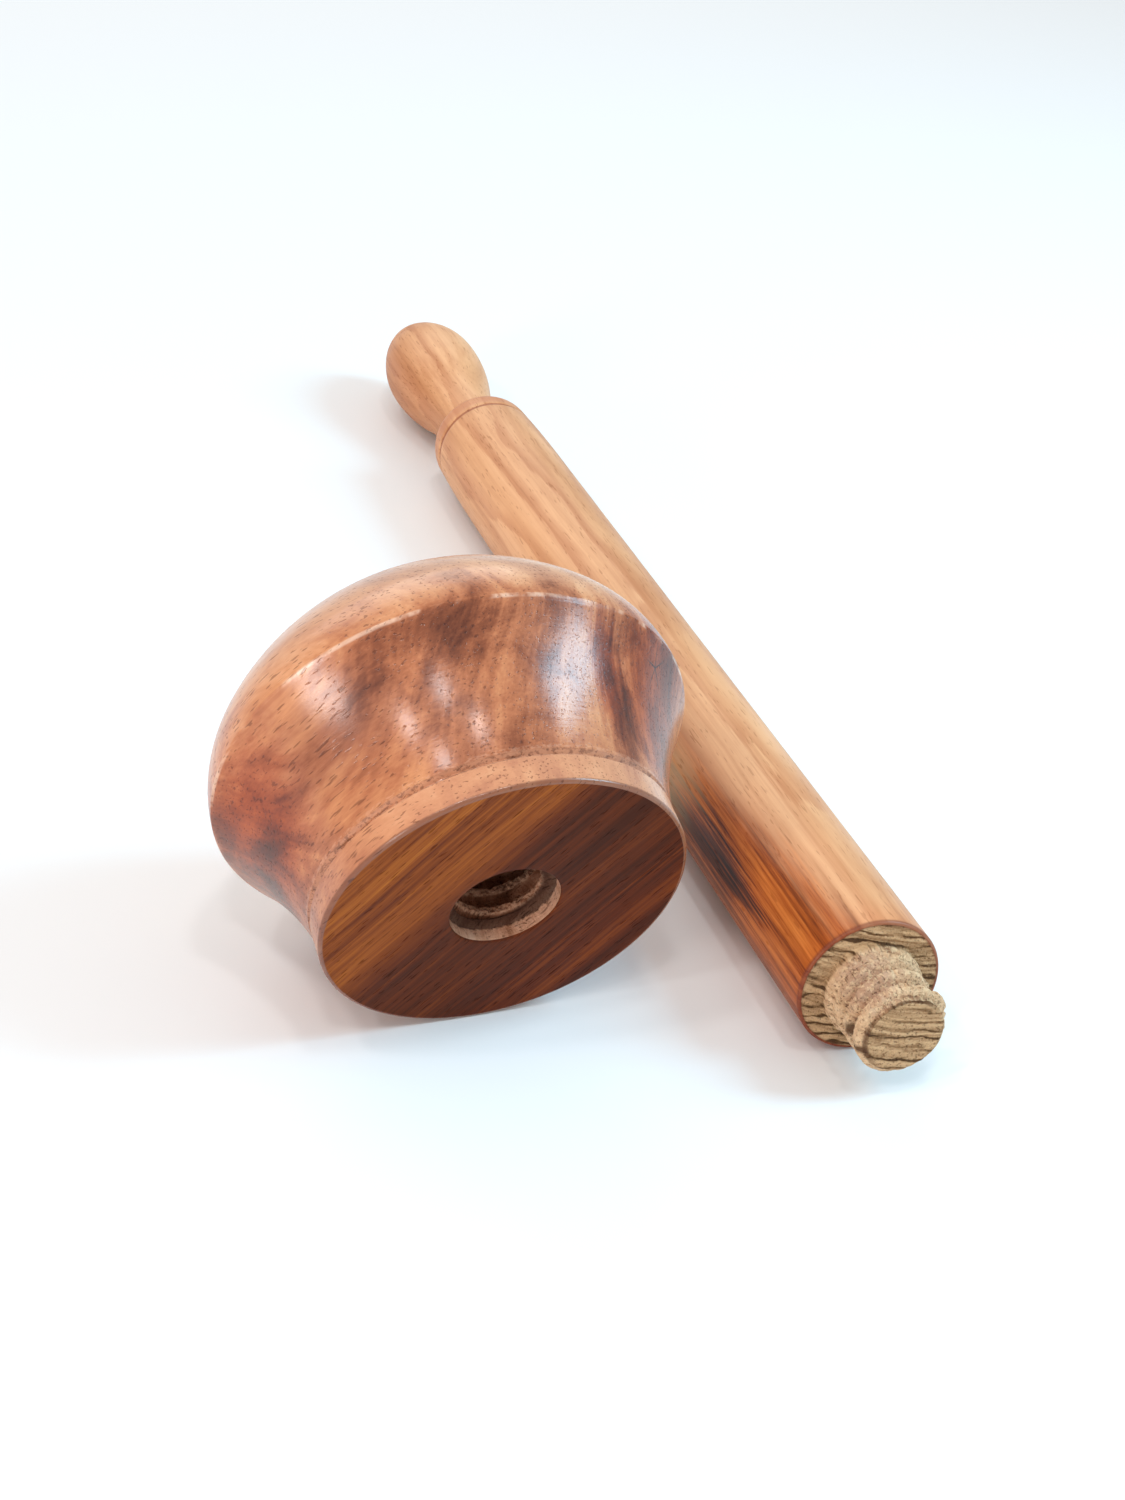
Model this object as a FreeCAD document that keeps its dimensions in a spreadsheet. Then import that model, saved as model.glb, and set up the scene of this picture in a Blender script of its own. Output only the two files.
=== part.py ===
import FreeCAD, Part
import os
import math
import Sketcher
from FreeCAD import Vector

# Two-piece turned wooden mallet, unscrewed, lying on a bench.
# head:   turned from one block, flat striking face, incised groove, concave
#         flare, sharp rim, domed back; a blind socket with a wooden thread
#         opens in the middle of the flat face.
# handle: turned from one rod: threaded tenon, square shoulder, long plain
#         grip, rounded grip end with an incised line, waist and egg knob.
# Millimetres, +Z up.  The grip runs along Y, tenon towards -Y.  Both pieces
# rest on the plane Z = 0.

os.makedirs("parts", exist_ok=True)
doc = FreeCAD.newDocument("TurnedMallet")

# ---------------------------------------------------------------- sheet
sheet = doc.addObject("Spreadsheet::Sheet", "Dimensions")
SIZES = [
    ("GripRadius", 15.0, "radius of the plain grip"),
    ("ShoulderEdge", 0.7, "eased edge of the shoulder"),
    ("GripStraight", 238.0, "shoulder to the start of the grip's soft end"),
    ("GripTaperEnd", 268.6, "shoulder to the end of the soft swelling"),
    ("GripTaperRadius", 14.4, "grip radius there"),
    ("GripEnd", 274.0, "shoulder to the end of the grip"),
    ("GripEndRadius", 11.2, "radius of the grip's end face"),
    ("LineStation", 264.0, "shoulder to the incised line"),
    ("LineDepth", 0.4, "depth of the incised line"),
    ("LineWidth", 1.5, "width of the incised line"),
    ("WaistRadius", 8.4, "waist between grip and knob"),
    ("WaistStation", 276.0, "shoulder to the waist"),
    ("KnobRadius", 14.0, "largest radius of the knob"),
    ("KnobStation", 322.5, "shoulder to the knob's widest place"),
    ("HandleTip", 350.8, "shoulder to the knob's tip"),
    ("KnobHollow", 108.0, "radius of the hollow between waist and knob"),
    ("KnobSide", 44.0, "radius of the knob's side next to its widest place"),
    ("TenonLength", 16.4, "length of the threaded tenon"),
    ("TenonMajor", 9.35, "crest radius of the tenon thread"),
    ("TenonMinor", 8.05, "root radius of the tenon thread"),
    ("TenonLead", 1.6, "chamfer on the tenon's end"),
    ("TenonPlain", 3.6, "length next to the shoulder that the thread leaves plain"),
    ("CollarRadius", 10.3, "radius of the tenon's plain collar next to the shoulder"),
    ("CollarLength", 2.6, "length of the collar"),
    ("CollarSlope", 0.9, "length of the slope from the collar down to the thread"),
    ("ThreadPitch", 4.5, "pitch of both threads"),
    ("TenonRootWidth", 1.25, "width of the tenon thread at its root"),
    ("TenonCrestGap", 2.65, "gap between the tenon thread's crests"),
    ("FaceRadius", 36.05, "radius of the flat striking face"),
    ("FaceEdge", 0.8, "eased edge of the striking face"),
    ("BandLength", 7.2, "face to the groove"),
    ("BandRadius", 35.95, "radius of the band at the groove"),
    ("GrooveDepth", 1.0, "depth of the incised groove"),
    ("GrooveWidth", 1.7, "width of the incised groove"),
    ("FlareMidStation", 17.9, "face to the middle of the flare"),
    ("FlareMidRadius", 38.8, "radius in the middle of the flare"),
    ("RimStation", 34.6, "face to the rim"),
    ("RimRadius", 48.05, "largest radius of the head"),
    ("HeadHeight", 70.9, "face to the top of the dome"),
    ("DomeSide", 22.7, "radius of the dome next to the rim"),
    ("MouthRadius", 10.9, "radius of the socket's plain mouth"),
    ("MouthDepth", 4.0, "depth of the plain mouth"),
    ("SocketMinor", 8.4, "crest radius of the socket thread"),
    ("SocketMajor", 9.7, "root radius of the socket thread"),
    ("SocketDepth", 24.0, "depth of the socket"),
    ("SocketPoint", 2.6, "depth of the cutter's cone at the bottom"),
    ("SocketRootWidth", 1.95, "width of the socket thread at its root"),
    ("SocketCrestGap", 3.35, "gap between the socket thread's crests"),
    ("HeadAcross", 71.45, "shoulder centre to face centre, across the grip"),
    ("HeadAlong", 13.65, "shoulder centre to face centre, along the grip"),
    ("HeadTurn", 3.25, "angle between the two axes, seen from above"),
    ("HeadRoll", 0.0, "roll of the head about its own axis"),
    ("HandleRoll", 0.0, "roll of the handle about its own axis"),
]
for row, (name, value, note) in enumerate(SIZES, start=1):
    sheet.set("A%d" % row, name)
    sheet.set("B%d" % row, repr(value))
    sheet.set("C%d" % row, note)
    sheet.setAlias("B%d" % row, name)
doc.recompute()
S = {name: float(sheet.get(name)) for name, value, note in SIZES}


def origin_item(body, role):
    """One of the body's own origin planes or axes."""
    for item in body.Origin.OriginFeatures:
        if item.Role == role:
            return item


def new_body(label):
    body = doc.addObject("PartDesign::Body", label)
    body.Label = label
    return body


def new_sketch(body, name):
    sketch = body.newObject("Sketcher::SketchObject", name)
    sketch.AttachmentSupport = [(origin_item(body, "XZ_Plane"), "")]
    sketch.MapMode = "FlatFace"
    return sketch


class Outline:
    """A closed half-outline in a sketch: x is the radius, y the station."""

    def __init__(self, sketch):
        self.k = sketch
        self.first = None
        self.last = None

    def line(self, a, b, smooth=False):
        i = self.k.addGeometry(Part.LineSegment(Vector(*a, 0), Vector(*b, 0)), False)
        self._join(i, 1, 2, smooth)
        return i

    def arc(self, centre, radius, start, end, smooth=False, backwards=False):
        """Counter-clockwise arc; 'backwards' when the outline runs it from end to start."""
        circle = Part.Circle(Vector(*centre, 0), Vector(0, 0, 1), radius)
        i = self.k.addGeometry(Part.ArcOfCircle(circle, start, end), False)
        self._join(i, 2 if backwards else 1, 1 if backwards else 2, smooth)
        return i

    def _join(self, i, start, end, smooth):
        """Each piece starts where the last one ends, with a smooth run-in or a corner."""
        if self.last is None:
            self.first = (i, start)
        else:
            kind = "Tangent" if smooth else "Coincident"
            self.k.addConstraint(Sketcher.Constraint(kind, self.last[0], self.last[1], i, start))
        self.last = (i, end)

    def close(self):
        self.k.addConstraint(Sketcher.Constraint("Coincident", self.last[0], self.last[1], self.first[0], self.first[1]))

    def radius(self, geo, pos, expr, value):
        """Distance of a point from the turning axis."""
        c = self.k.addConstraint(Sketcher.Constraint("DistanceX", -1, 1, geo, pos, value))
        self.k.setExpression("Constraints[%d]" % c, expr)

    def station(self, geo, pos, expr, value):
        """Distance of a point along the turning axis."""
        c = self.k.addConstraint(Sketcher.Constraint("DistanceY", -1, 1, geo, pos, value))
        self.k.setExpression("Constraints[%d]" % c, expr)

    def size(self, geo, expr, value):
        c = self.k.addConstraint(Sketcher.Constraint("Radius", geo, value))
        self.k.setExpression("Constraints[%d]" % c, expr)

    def on_axis(self, geo, pos):
        self.k.addConstraint(Sketcher.Constraint("PointOnObject", geo, pos, -2))


def D(name):
    return "Dimensions." + name


def turn(body, sketch, name, cut=False):
    kind = "PartDesign::Groove" if cut else "PartDesign::Revolution"
    feature = body.newObject(kind, name)
    feature.Profile = sketch
    feature.ReferenceAxis = (sketch, ["V_Axis"])
    feature.Angle = 360.0
    sketch.Visibility = False
    body.Tip = feature
    return feature


def thread_cut(body, sketch, name, height):
    feature = body.newObject("PartDesign::SubtractiveHelix", name)
    feature.Profile = sketch
    feature.ReferenceAxis = (sketch, ["V_Axis"])
    feature.Mode = "pitch-height-angle"
    feature.setExpression("Pitch", D("ThreadPitch"))
    feature.setExpression("Height", height)
    feature.Angle = 0
    feature.LeftHanded = False
    feature.Reversed = False
    sketch.Visibility = False
    body.Tip = feature
    return feature


# --------------------------------------------------------------- handle
# Local Z runs from the shoulder (0) towards the knob; the tenon is below 0.
handle = new_body("handle")
rod = new_sketch(handle, "rod_outline")
o = Outline(rod)
gr, te = S["GripRadius"], S["ShoulderEdge"]
tl, tj, tc = S["TenonLength"], S["TenonMajor"], S["TenonLead"]
gs, gt, gtr, ge, ger = S["GripStraight"], S["GripTaperEnd"], S["GripTaperRadius"], S["GripEnd"], S["GripEndRadius"]
ws, wr = S["WaistStation"], S["WaistRadius"]
kr, ks, tip = S["KnobRadius"], S["KnobStation"], S["HandleTip"]


def arc_from(p, direction, q):
    """Circle through p (tangent to direction) and q: (centre, radius)."""
    dx, dy = direction
    nx, ny = -dy, dx
    vx, vy = q[0] - p[0], q[1] - p[1]
    t = (vx * vx + vy * vy) / (2 * (vx * nx + vy * ny))
    return (p[0] + t * nx, p[1] + t * ny), abs(t)


l1 = o.line((0, -tl), (tj - tc, -tl))
o.on_axis(l1, 1)
o.station(l1, 1, "-" + D("TenonLength"), -tl)
rod.addConstraint(Sketcher.Constraint("Horizontal", l1))
o.radius(l1, 2, D("TenonMajor") + " - " + D("TenonLead"), tj - tc)
l2 = o.line((tj - tc, -tl), (tj, -tl + tc))
o.radius(l2, 2, D("TenonMajor"), tj)
o.station(l2, 2, D("TenonLead") + " - " + D("TenonLength"), tc - tl)
cr, cl, cs = S["CollarRadius"], S["CollarLength"], S["CollarSlope"]
l3 = o.line((tj, -tl + tc), (tj, -cl - cs))
rod.addConstraint(Sketcher.Constraint("Vertical", l3))
o.station(l3, 2, "-" + D("CollarLength") + " - " + D("CollarSlope"), -cl - cs)
l3a = o.line((tj, -cl - cs), (cr, -cl))
o.radius(l3a, 2, D("CollarRadius"), cr)
o.station(l3a, 2, "-" + D("CollarLength"), -cl)
l3b = o.line((cr, -cl), (cr, 0))
rod.addConstraint(Sketcher.Constraint("Vertical", l3b))
l4 = o.line((cr, 0), (gr - te, 0))
rod.addConstraint(Sketcher.Constraint("PointOnObject", l4, 1, -1))
rod.addConstraint(Sketcher.Constraint("Horizontal", l4))
a1 = o.arc((gr - te, te), te, -math.pi / 2, 0, smooth=True)
l5 = o.line((gr, te), (gr, gs), smooth=True)
o.size(a1, D("ShoulderEdge"), te)
o.radius(l5, 1, D("GripRadius"), gr)
o.station(l5, 2, D("GripStraight"), gs)
# soft end of the grip: a very large arc, then a small one to the end face
c2, r2 = arc_from((gr, gs), (0, 1), (gtr, gt))
end2 = math.atan2(gt - c2[1], gtr - c2[0])
a2 = o.arc(c2, r2, 0, end2, smooth=True)
o.radius(a2, 2, D("GripTaperRadius"), gtr)
o.station(a2, 2, D("GripTaperEnd"), gt)
c3, r3 = arc_from((gtr, gt), (-math.sin(end2), math.cos(end2)), (ger, ge))
a3 = o.arc(c3, r3, end2, math.atan2(ge - c3[1], ger - c3[0]), smooth=True)
o.radius(a3, 2, D("GripEndRadius"), ger)
o.station(a3, 2, D("GripEnd"), ge)
# hollow waist, then the egg-shaped knob
l6 = o.line((ger, ge), (wr, ws))
o.radius(l6, 2, D("WaistRadius"), wr)
o.station(l6, 2, D("WaistStation"), ws)
# S-shaped flank: a hollow arc off the waist, then a full arc to the widest place
kh = S["KnobHollow"]
kx, ky = kr - wr, ks - ws
kf = (kx * kx + ky * ky) / (2 * kx) - kh
bend = math.asin(ky / (kh + kf))
a4 = o.arc((wr + kh, ws), kh, math.pi - bend, math.pi, backwards=True)
a5 = o.arc((kr - kf, ks), kf, -bend, 0, smooth=True)
o.size(a4, D("KnobHollow"), kh)
rod.addConstraint(Sketcher.Constraint("DistanceY", a4, 3, a4, 2, 0.0))
o.radius(a5, 2, D("KnobRadius"), kr)
o.station(a5, 2, D("KnobStation"), ks)
rod.addConstraint(Sketcher.Constraint("DistanceY", a5, 3, a5, 2, 0.0))
# tip: quarter oval of two arcs, side radius r6 then crown radius r7
hh = tip - ks


def oval(rx, ry, rs):
    """Two tangent arcs from (rx, 0) to (0, ry): side radius rs, crown radius and the joint."""
    # centres (rx - rs, 0) and (0, ry - rc); |between| = |rc - rs|
    a = rx - rs
    rc = (a * a + ry * ry - rs * rs) / (2 * (ry - rs))
    cy = ry - rc
    ang = math.atan2(-cy, a) if rc > rs else math.atan2(cy, -a)
    return rc, cy, ang


kd = S["KnobSide"]
rc, cy, ang = oval(kr, hh, kd)
a6 = o.arc((kr - kd, ks), kd, 0, ang, smooth=True)
a7 = o.arc((0, ks + cy), rc, ang, math.pi / 2, smooth=True)
o.on_axis(a7, 2)
o.on_axis(a7, 3)
o.station(a7, 2, D("HandleTip"), tip)
o.size(a6, D("KnobSide"), kd)
l9 = o.line((0, tip), (0, -tl))
o.close()
doc.recompute()
turn(handle, rod, "turned_rod")
doc.recompute()


# incised line round the soft end of the grip
mark = new_sketch(handle, "line_outline")
ls, ld, lw = S["LineStation"], S["LineDepth"], S["LineWidth"]
lt = S["GripTaperRadius"]
m = Outline(mark)
e1 = m.line((lt - ld, ls), (lt + 1.0, ls - lw))
m.radius(e1, 1, D("GripTaperRadius") + " - " + D("LineDepth"), lt - ld)
m.station(e1, 1, D("LineStation"), ls)
m.radius(e1, 2, D("GripTaperRadius") + " + 1", lt + 1.0)
m.station(e1, 2, D("LineStation") + " - " + D("LineWidth"), ls - lw)
e2 = m.line((lt + 1.0, ls - lw), (lt + 1.0, ls + lw))
mark.addConstraint(Sketcher.Constraint("Vertical", e2))
m.station(e2, 2, D("LineStation") + " + " + D("LineWidth"), ls + lw)
e3 = m.line((lt + 1.0, ls + lw), (lt - ld, ls))
m.close()
turn(handle, mark, "incised_line", cut=True)

# thread of the tenon, cut from past its end up to the plain length
tm, tw, tg = S["TenonMinor"], S["TenonRootWidth"], S["TenonCrestGap"]
pitch = S["ThreadPitch"]
over = 0.6


def v_profile(sketch, r0, r1, w0, w1, at, names):
    """Trapezoid cutter: width w0 at radius r0, width w1 at radius r1, run out past r1."""
    slope = (w1 - w0) / (r1 - r0)
    w2 = w1 + slope * over * (1 if r1 > r0 else -1)
    r2 = r1 + (over if r1 > r0 else -over)
    n0, n1, nw0, nw1, nat = names
    sign = "+" if r1 > r0 else "-"
    v = Outline(sketch)
    s1 = v.line((r0, at - w0 / 2), (r0, at + w0 / 2))
    sketch.addConstraint(Sketcher.Constraint("Vertical", s1))
    v.radius(s1, 1, D(n0), r0)
    v.station(s1, 1, nat + " - " + D(nw0) + " / 2", at - w0 / 2)
    v.station(s1, 2, nat + " + " + D(nw0) + " / 2", at + w0 / 2)
    wide = "(%s + (%s - %s) * (1 + %s / abs(%s - %s))) / 2" % (D(nw0), D(nw1), D(nw0), over, D(n1), D(n0))
    s2 = v.line((r0, at + w0 / 2), (r2, at + w2 / 2))
    v.radius(s2, 2, "%s %s %s" % (D(n1), sign, over), r2)
    v.station(s2, 2, nat + " + " + wide, at + (w0 + (w1 - w0) * (1 + over / abs(r1 - r0))) / 2)
    s3 = v.line((r2, at + w2 / 2), (r2, at - w2 / 2))
    sketch.addConstraint(Sketcher.Constraint("Vertical", s3))
    v.station(s3, 2, nat + " - " + wide, at - (w0 + (w1 - w0) * (1 + over / abs(r1 - r0))) / 2)
    v.line((r2, at - w2 / 2), (r0, at - w0 / 2))
    v.close()


cut1 = new_sketch(handle, "tenon_thread_outline")
v_profile(cut1, tm, tj, tw, tg, -tl - pitch / 2,
          ("TenonMinor", "TenonMajor", "TenonRootWidth", "TenonCrestGap",
           "-" + D("TenonLength") + " - " + D("ThreadPitch") + " / 2"))
thread_cut(handle, cut1, "tenon_thread",
           D("TenonLength") + " + " + D("ThreadPitch") + " / 2 - " + D("TenonPlain") + " - " + D("TenonCrestGap") + " / 2")

# ----------------------------------------------------------------- head
# Local Z runs from the middle of the striking face (0) into the head.
head = new_body("head")
block = new_sketch(head, "head_outline")
b = Outline(block)
fr, fe = S["FaceRadius"], S["FaceEdge"]
bl, br = S["BandLength"], S["BandRadius"]
gd, gw = S["GrooveDepth"], S["GrooveWidth"]
fms, fmr = S["FlareMidStation"], S["FlareMidRadius"]
rs, rr = S["RimStation"], S["RimRadius"]
hh, ds = S["HeadHeight"], S["DomeSide"]


def three_points(p, q, r):
    """Circle through three points: (centre, radius)."""
    ax, ay, bx, by, cx, cy = *p, *q, *r
    d = 2 * (ax * (by - cy) + bx * (cy - ay) + cx * (ay - by))
    ux = ((ax * ax + ay * ay) * (by - cy) + (bx * bx + by * by) * (cy - ay) + (cx * cx + cy * cy) * (ay - by)) / d
    uy = ((ax * ax + ay * ay) * (cx - bx) + (bx * bx + by * by) * (ax - cx) + (cx * cx + cy * cy) * (bx - ax)) / d
    return (ux, uy), math.hypot(ax - ux, ay - uy)


b1 = b.line((0, 0), (fr - fe, 0))
block.addConstraint(Sketcher.Constraint("Coincident", b1, 1, -1, 1))
block.addConstraint(Sketcher.Constraint("Horizontal", b1))
b2 = b.arc((fr - fe, fe), fe, -math.pi / 2, 0, smooth=True)
b.size(b2, D("FaceEdge"), fe)
b.radius(b2, 2, D("FaceRadius"), fr)
block.addConstraint(Sketcher.Constraint("DistanceY", b2, 3, b2, 2, 0.0))
b3 = b.line((fr, fe), (br, bl - gw / 2))
b.radius(b3, 2, D("BandRadius"), br)
b.station(b3, 2, D("BandLength") + " - " + D("GrooveWidth") + " / 2", bl - gw / 2)
b4 = b.line((br, bl - gw / 2), (br - gd, bl))
b.radius(b4, 2, D("BandRadius") + " - " + D("GrooveDepth"), br - gd)
b.station(b4, 2, D("BandLength"), bl)
b5 = b.line((br - gd, bl), (br, bl + gw / 2))
b.radius(b5, 2, D("BandRadius"), br)
b.station(b5, 2, D("BandLength") + " + " + D("GrooveWidth") + " / 2", bl + gw / 2)
fc, fk = three_points((br, bl + gw / 2), (fmr, fms), (rr, rs))
b6 = b.arc(fc, fk, math.atan2(rs - fc[1], rr - fc[0]) % (2 * math.pi), math.atan2(bl + gw / 2 - fc[1], br - fc[0]) % (2 * math.pi), backwards=True)
mid = block.addGeometry(Part.Point(Vector(fmr, fms, 0)), True)
block.addConstraint(Sketcher.Constraint("PointOnObject", mid, 1, b6))
b.radius(mid, 1, D("FlareMidRadius"), fmr)
b.station(mid, 1, D("FlareMidStation"), fms)
b.radius(b6, 1, D("RimRadius"), rr)
b.station(b6, 1, D("RimStation"), rs)
drc, dcy, dang = oval(rr, hh - rs, ds)
b7 = b.arc((rr - ds, rs), ds, 0, dang)
b.size(b7, D("DomeSide"), ds)
block.addConstraint(Sketcher.Constraint("DistanceY", b7, 3, b7, 1, 0.0))
b8 = b.arc((0, rs + dcy), drc, dang, math.pi / 2, smooth=True)
b.on_axis(b8, 2)
b.on_axis(b8, 3)
b.station(b8, 2, D("HeadHeight"), hh)
b.line((0, hh), (0, 0))
b.close()
turn(head, block, "turned_head")

# blind socket: plain mouth, thread bore, cutter's cone at the bottom
bore = new_sketch(head, "socket_outline")
s = Outline(bore)
mr, md = S["MouthRadius"], S["MouthDepth"]
sm, sj, sd, sp = S["SocketMinor"], S["SocketMajor"], S["SocketDepth"], S["SocketPoint"]
g1 = s.line((0, -1), (mr, -1))
s.on_axis(g1, 1)
bore.addConstraint(Sketcher.Constraint("Horizontal", g1))
s.station(g1, 1, "-1", -1.0)
g2 = s.line((mr, -1), (mr, md))
bore.addConstraint(Sketcher.Constraint("Vertical", g2))
s.radius(g2, 1, D("MouthRadius"), mr)
s.station(g2, 2, D("MouthDepth"), md)
g3 = s.line((mr, md), (sm, md))
bore.addConstraint(Sketcher.Constraint("Horizontal", g3))
s.radius(g3, 2, D("SocketMinor"), sm)
g4 = s.line((sm, md), (sm, sd))
bore.addConstraint(Sketcher.Constraint("Vertical", g4))
s.station(g4, 2, D("SocketDepth"), sd)
g5 = s.line((sm, sd), (0, sd + sp))
s.on_axis(g5, 2)
s.station(g5, 2, D("SocketDepth") + " + " + D("SocketPoint"), sd + sp)
g6 = s.line((0, sd + sp), (0, -1))
s.close()
turn(head, bore, "socket", cut=True)

# thread of the socket, cut from the mouth's step downwards
sw, sg = S["SocketRootWidth"], S["SocketCrestGap"]
cut2 = new_sketch(head, "socket_thread_outline")
v_profile(cut2, sj, sm, sw, sg, md - pitch / 2 + 0.6,
          ("SocketMajor", "SocketMinor", "SocketRootWidth", "SocketCrestGap",
           D("MouthDepth") + " - " + D("ThreadPitch") + " / 2 + 0.6"))
thread_cut(head, cut2, "socket_thread", D("SocketDepth") + " - " + D("MouthDepth") + " - " + D("SocketCrestGap") + " / 2 - 0.4")
doc.recompute()

# ------------------------------------------------------------ placement
# The handle lies on its grip.  The head lies on its rim and on the edge of its
# face: dx, dy run from the eased face edge's centre to the rim.
dx, dy = rs - fe, rr - (fr - fe)
lean = math.atan2(dy, dx) - math.asin(fe / math.hypot(dx, dy))
face_height = rr * math.cos(lean) - rs * math.sin(lean)
turn_z = FreeCAD.Rotation(Vector(0, 0, 1), S["HeadTurn"])
handle_rot = FreeCAD.Rotation(Vector(1, 0, 0), -90).multiply(FreeCAD.Rotation(Vector(0, 0, 1), S["HandleRoll"]))
head_rot = turn_z.multiply(FreeCAD.Rotation(Vector(1, 0, 0), math.degrees(lean) - 90)).multiply(
    FreeCAD.Rotation(Vector(0, 0, 1), S["HeadRoll"]))
handle.Placement = FreeCAD.Placement(Vector(0, 0, gr), handle_rot)
head.Placement = FreeCAD.Placement(Vector(-S["HeadAcross"], S["HeadAlong"], face_height), head_rot)
doc.recompute()

# origin: bottom centre of the box round both pieces
boxes = [body.Shape.optimalBoundingBox(False) for body in (handle, head)]
mid_x = (min(k.XMin for k in boxes) + max(k.XMax for k in boxes)) / 2
mid_y = (min(k.YMin for k in boxes) + max(k.YMax for k in boxes)) / 2
low_z = min(k.ZMin for k in boxes)
shift = Vector(-round(mid_x, 3), -round(mid_y, 3), 0)
for body in (handle, head):
    p = body.Placement
    body.Placement = FreeCAD.Placement(p.Base.add(shift), p.Rotation)
doc.recompute()

for item in doc.Objects:
    if any(word in ("Invalid", "Error") for word in getattr(item, "State", [])):
        raise RuntimeError("%s did not compute: %s" % (item.Name, item.State))

steps = {"turned_rod": 1, "incised_line": -1, "tenon_thread": -1, "turned_head": 1, "socket": -1, "socket_thread": -1}
before = 0.0
for name, sign in steps.items():
    volume = doc.getObject(name).Shape.Volume
    if sign < 0 and volume > before - 5:
        raise RuntimeError(name + " removes nothing")
    before = volume

for body in (handle, head):
    shape = body.Shape
    if shape.isNull() or not shape.isValid() or len(shape.Solids) != 1:
        raise RuntimeError(body.Label + " is not one valid solid")
    shape.exportStep("parts/%s.step" % body.Label)
    box = shape.optimalBoundingBox(False)
    print(body.Label, "volume %.1f" % shape.Volume, "x %.2f %.2f y %.2f %.2f z %.2f %.2f"
          % (box.XMin, box.XMax, box.YMin, box.YMax, box.ZMin, box.ZMax), "faces", len(shape.Faces))
print("lean %.3f deg, face centre height %.3f, base handle %s head %s"
      % (math.degrees(lean), face_height, handle.Placement.Base, head.Placement.Base))
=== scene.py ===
import math
import bmesh
import bpy
import numpy as np
from mathutils import Matrix, Vector


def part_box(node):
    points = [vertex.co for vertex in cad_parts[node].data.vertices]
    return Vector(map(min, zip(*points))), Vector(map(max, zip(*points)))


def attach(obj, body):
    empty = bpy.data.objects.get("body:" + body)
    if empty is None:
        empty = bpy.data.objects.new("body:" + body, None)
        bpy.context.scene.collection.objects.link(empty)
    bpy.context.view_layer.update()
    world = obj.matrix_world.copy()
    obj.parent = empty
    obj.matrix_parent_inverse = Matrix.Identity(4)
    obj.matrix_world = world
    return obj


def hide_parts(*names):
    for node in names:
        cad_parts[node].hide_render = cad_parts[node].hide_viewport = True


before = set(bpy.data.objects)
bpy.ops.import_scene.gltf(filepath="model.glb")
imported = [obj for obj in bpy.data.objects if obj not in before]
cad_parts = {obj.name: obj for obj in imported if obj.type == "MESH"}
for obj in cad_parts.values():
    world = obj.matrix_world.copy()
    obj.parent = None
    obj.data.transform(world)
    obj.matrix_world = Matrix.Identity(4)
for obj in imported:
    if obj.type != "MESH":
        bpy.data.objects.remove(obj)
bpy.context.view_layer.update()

# ------------------------------------------------------------------ placing
# Both pieces are modelled in their own turning frame (millimetres, local Z on
# the turning axis) and then placed where the CAD solids lie.
GRIP_R = 15.0
TURN = math.radians(3.25)
RIM_S, RIM_R, FACE_R, FACE_E = 34.6, 48.05, 36.05, 0.8
dx, dy = RIM_S - FACE_E, RIM_R - (FACE_R - FACE_E)
LEAN = math.atan2(dy, dx) - math.asin(FACE_E / math.hypot(dx, dy))
FACE_H = RIM_R * math.cos(LEAN) - RIM_S * math.sin(LEAN)
hlo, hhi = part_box("handle")
SHOULDER = Vector(((hlo[0] + hhi[0]) / 2, hlo[1] + 0.0164, 0.015))
FACE = Vector((SHOULDER.x - 0.07145, SHOULDER.y + 0.01365, FACE_H / 1000))
M_HANDLE = Matrix.Translation(SHOULDER) @ Matrix.Rotation(math.radians(-90), 4, "X")
M_HEAD = Matrix.Translation(FACE) @ Matrix.Rotation(TURN, 4, "Z") @ Matrix.Rotation(LEAN - math.pi / 2, 4, "X")


# -------------------------------------------------------------------- noise
def lattice(ix, iy, iz, seed):
    v = np.sin(ix * 127.1 + iy * 311.7 + iz * 74.7 + seed * 53.13) * 43758.5453
    return v - np.floor(v)


def noise3(x, y, z, seed=0):
    """Smooth value noise in -1..1."""
    x, y, z = np.broadcast_arrays(x, y, z)
    ix, iy, iz = np.floor(x), np.floor(y), np.floor(z)
    fx, fy, fz = x - ix, y - iy, z - iz
    fx, fy, fz = fx * fx * (3 - 2 * fx), fy * fy * (3 - 2 * fy), fz * fz * (3 - 2 * fz)
    out = 0
    for cx in (0, 1):
        for cy in (0, 1):
            for cz in (0, 1):
                w = (fx if cx else 1 - fx) * (fy if cy else 1 - fy) * (fz if cz else 1 - fz)
                out = out + w * lattice(ix + cx, iy + cy, iz + cz, seed)
    return out * 2 - 1


def fbm(x, y, z, seed=0, octaves=3):
    total, amp, norm, f = 0, 1.0, 0.0, 1.0
    for k in range(octaves):
        total = total + amp * noise3(x * f, y * f, z * f, seed + 17 * k)
        norm += amp
        amp *= 0.5
        f *= 2.03
    return total / norm


def smooth(a, b, x):
    t = np.clip((x - a) / (b - a), 0, 1)
    return t * t * (3 - 2 * t)


# ------------------------------------------------------------------ turning
def three_points(p, q, r):
    ax, ay, bx, by, cx, cy = *p, *q, *r
    d = 2 * (ax * (by - cy) + bx * (cy - ay) + cx * (ay - by))
    ux = ((ax * ax + ay * ay) * (by - cy) + (bx * bx + by * by) * (cy - ay) + (cx * cx + cy * cy) * (ay - by)) / d
    uy = ((ax * ax + ay * ay) * (cx - bx) + (bx * bx + by * by) * (ax - cx) + (cx * cx + cy * cy) * (bx - ax)) / d
    return (ux, uy), math.hypot(ax - ux, ay - uy)


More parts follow.
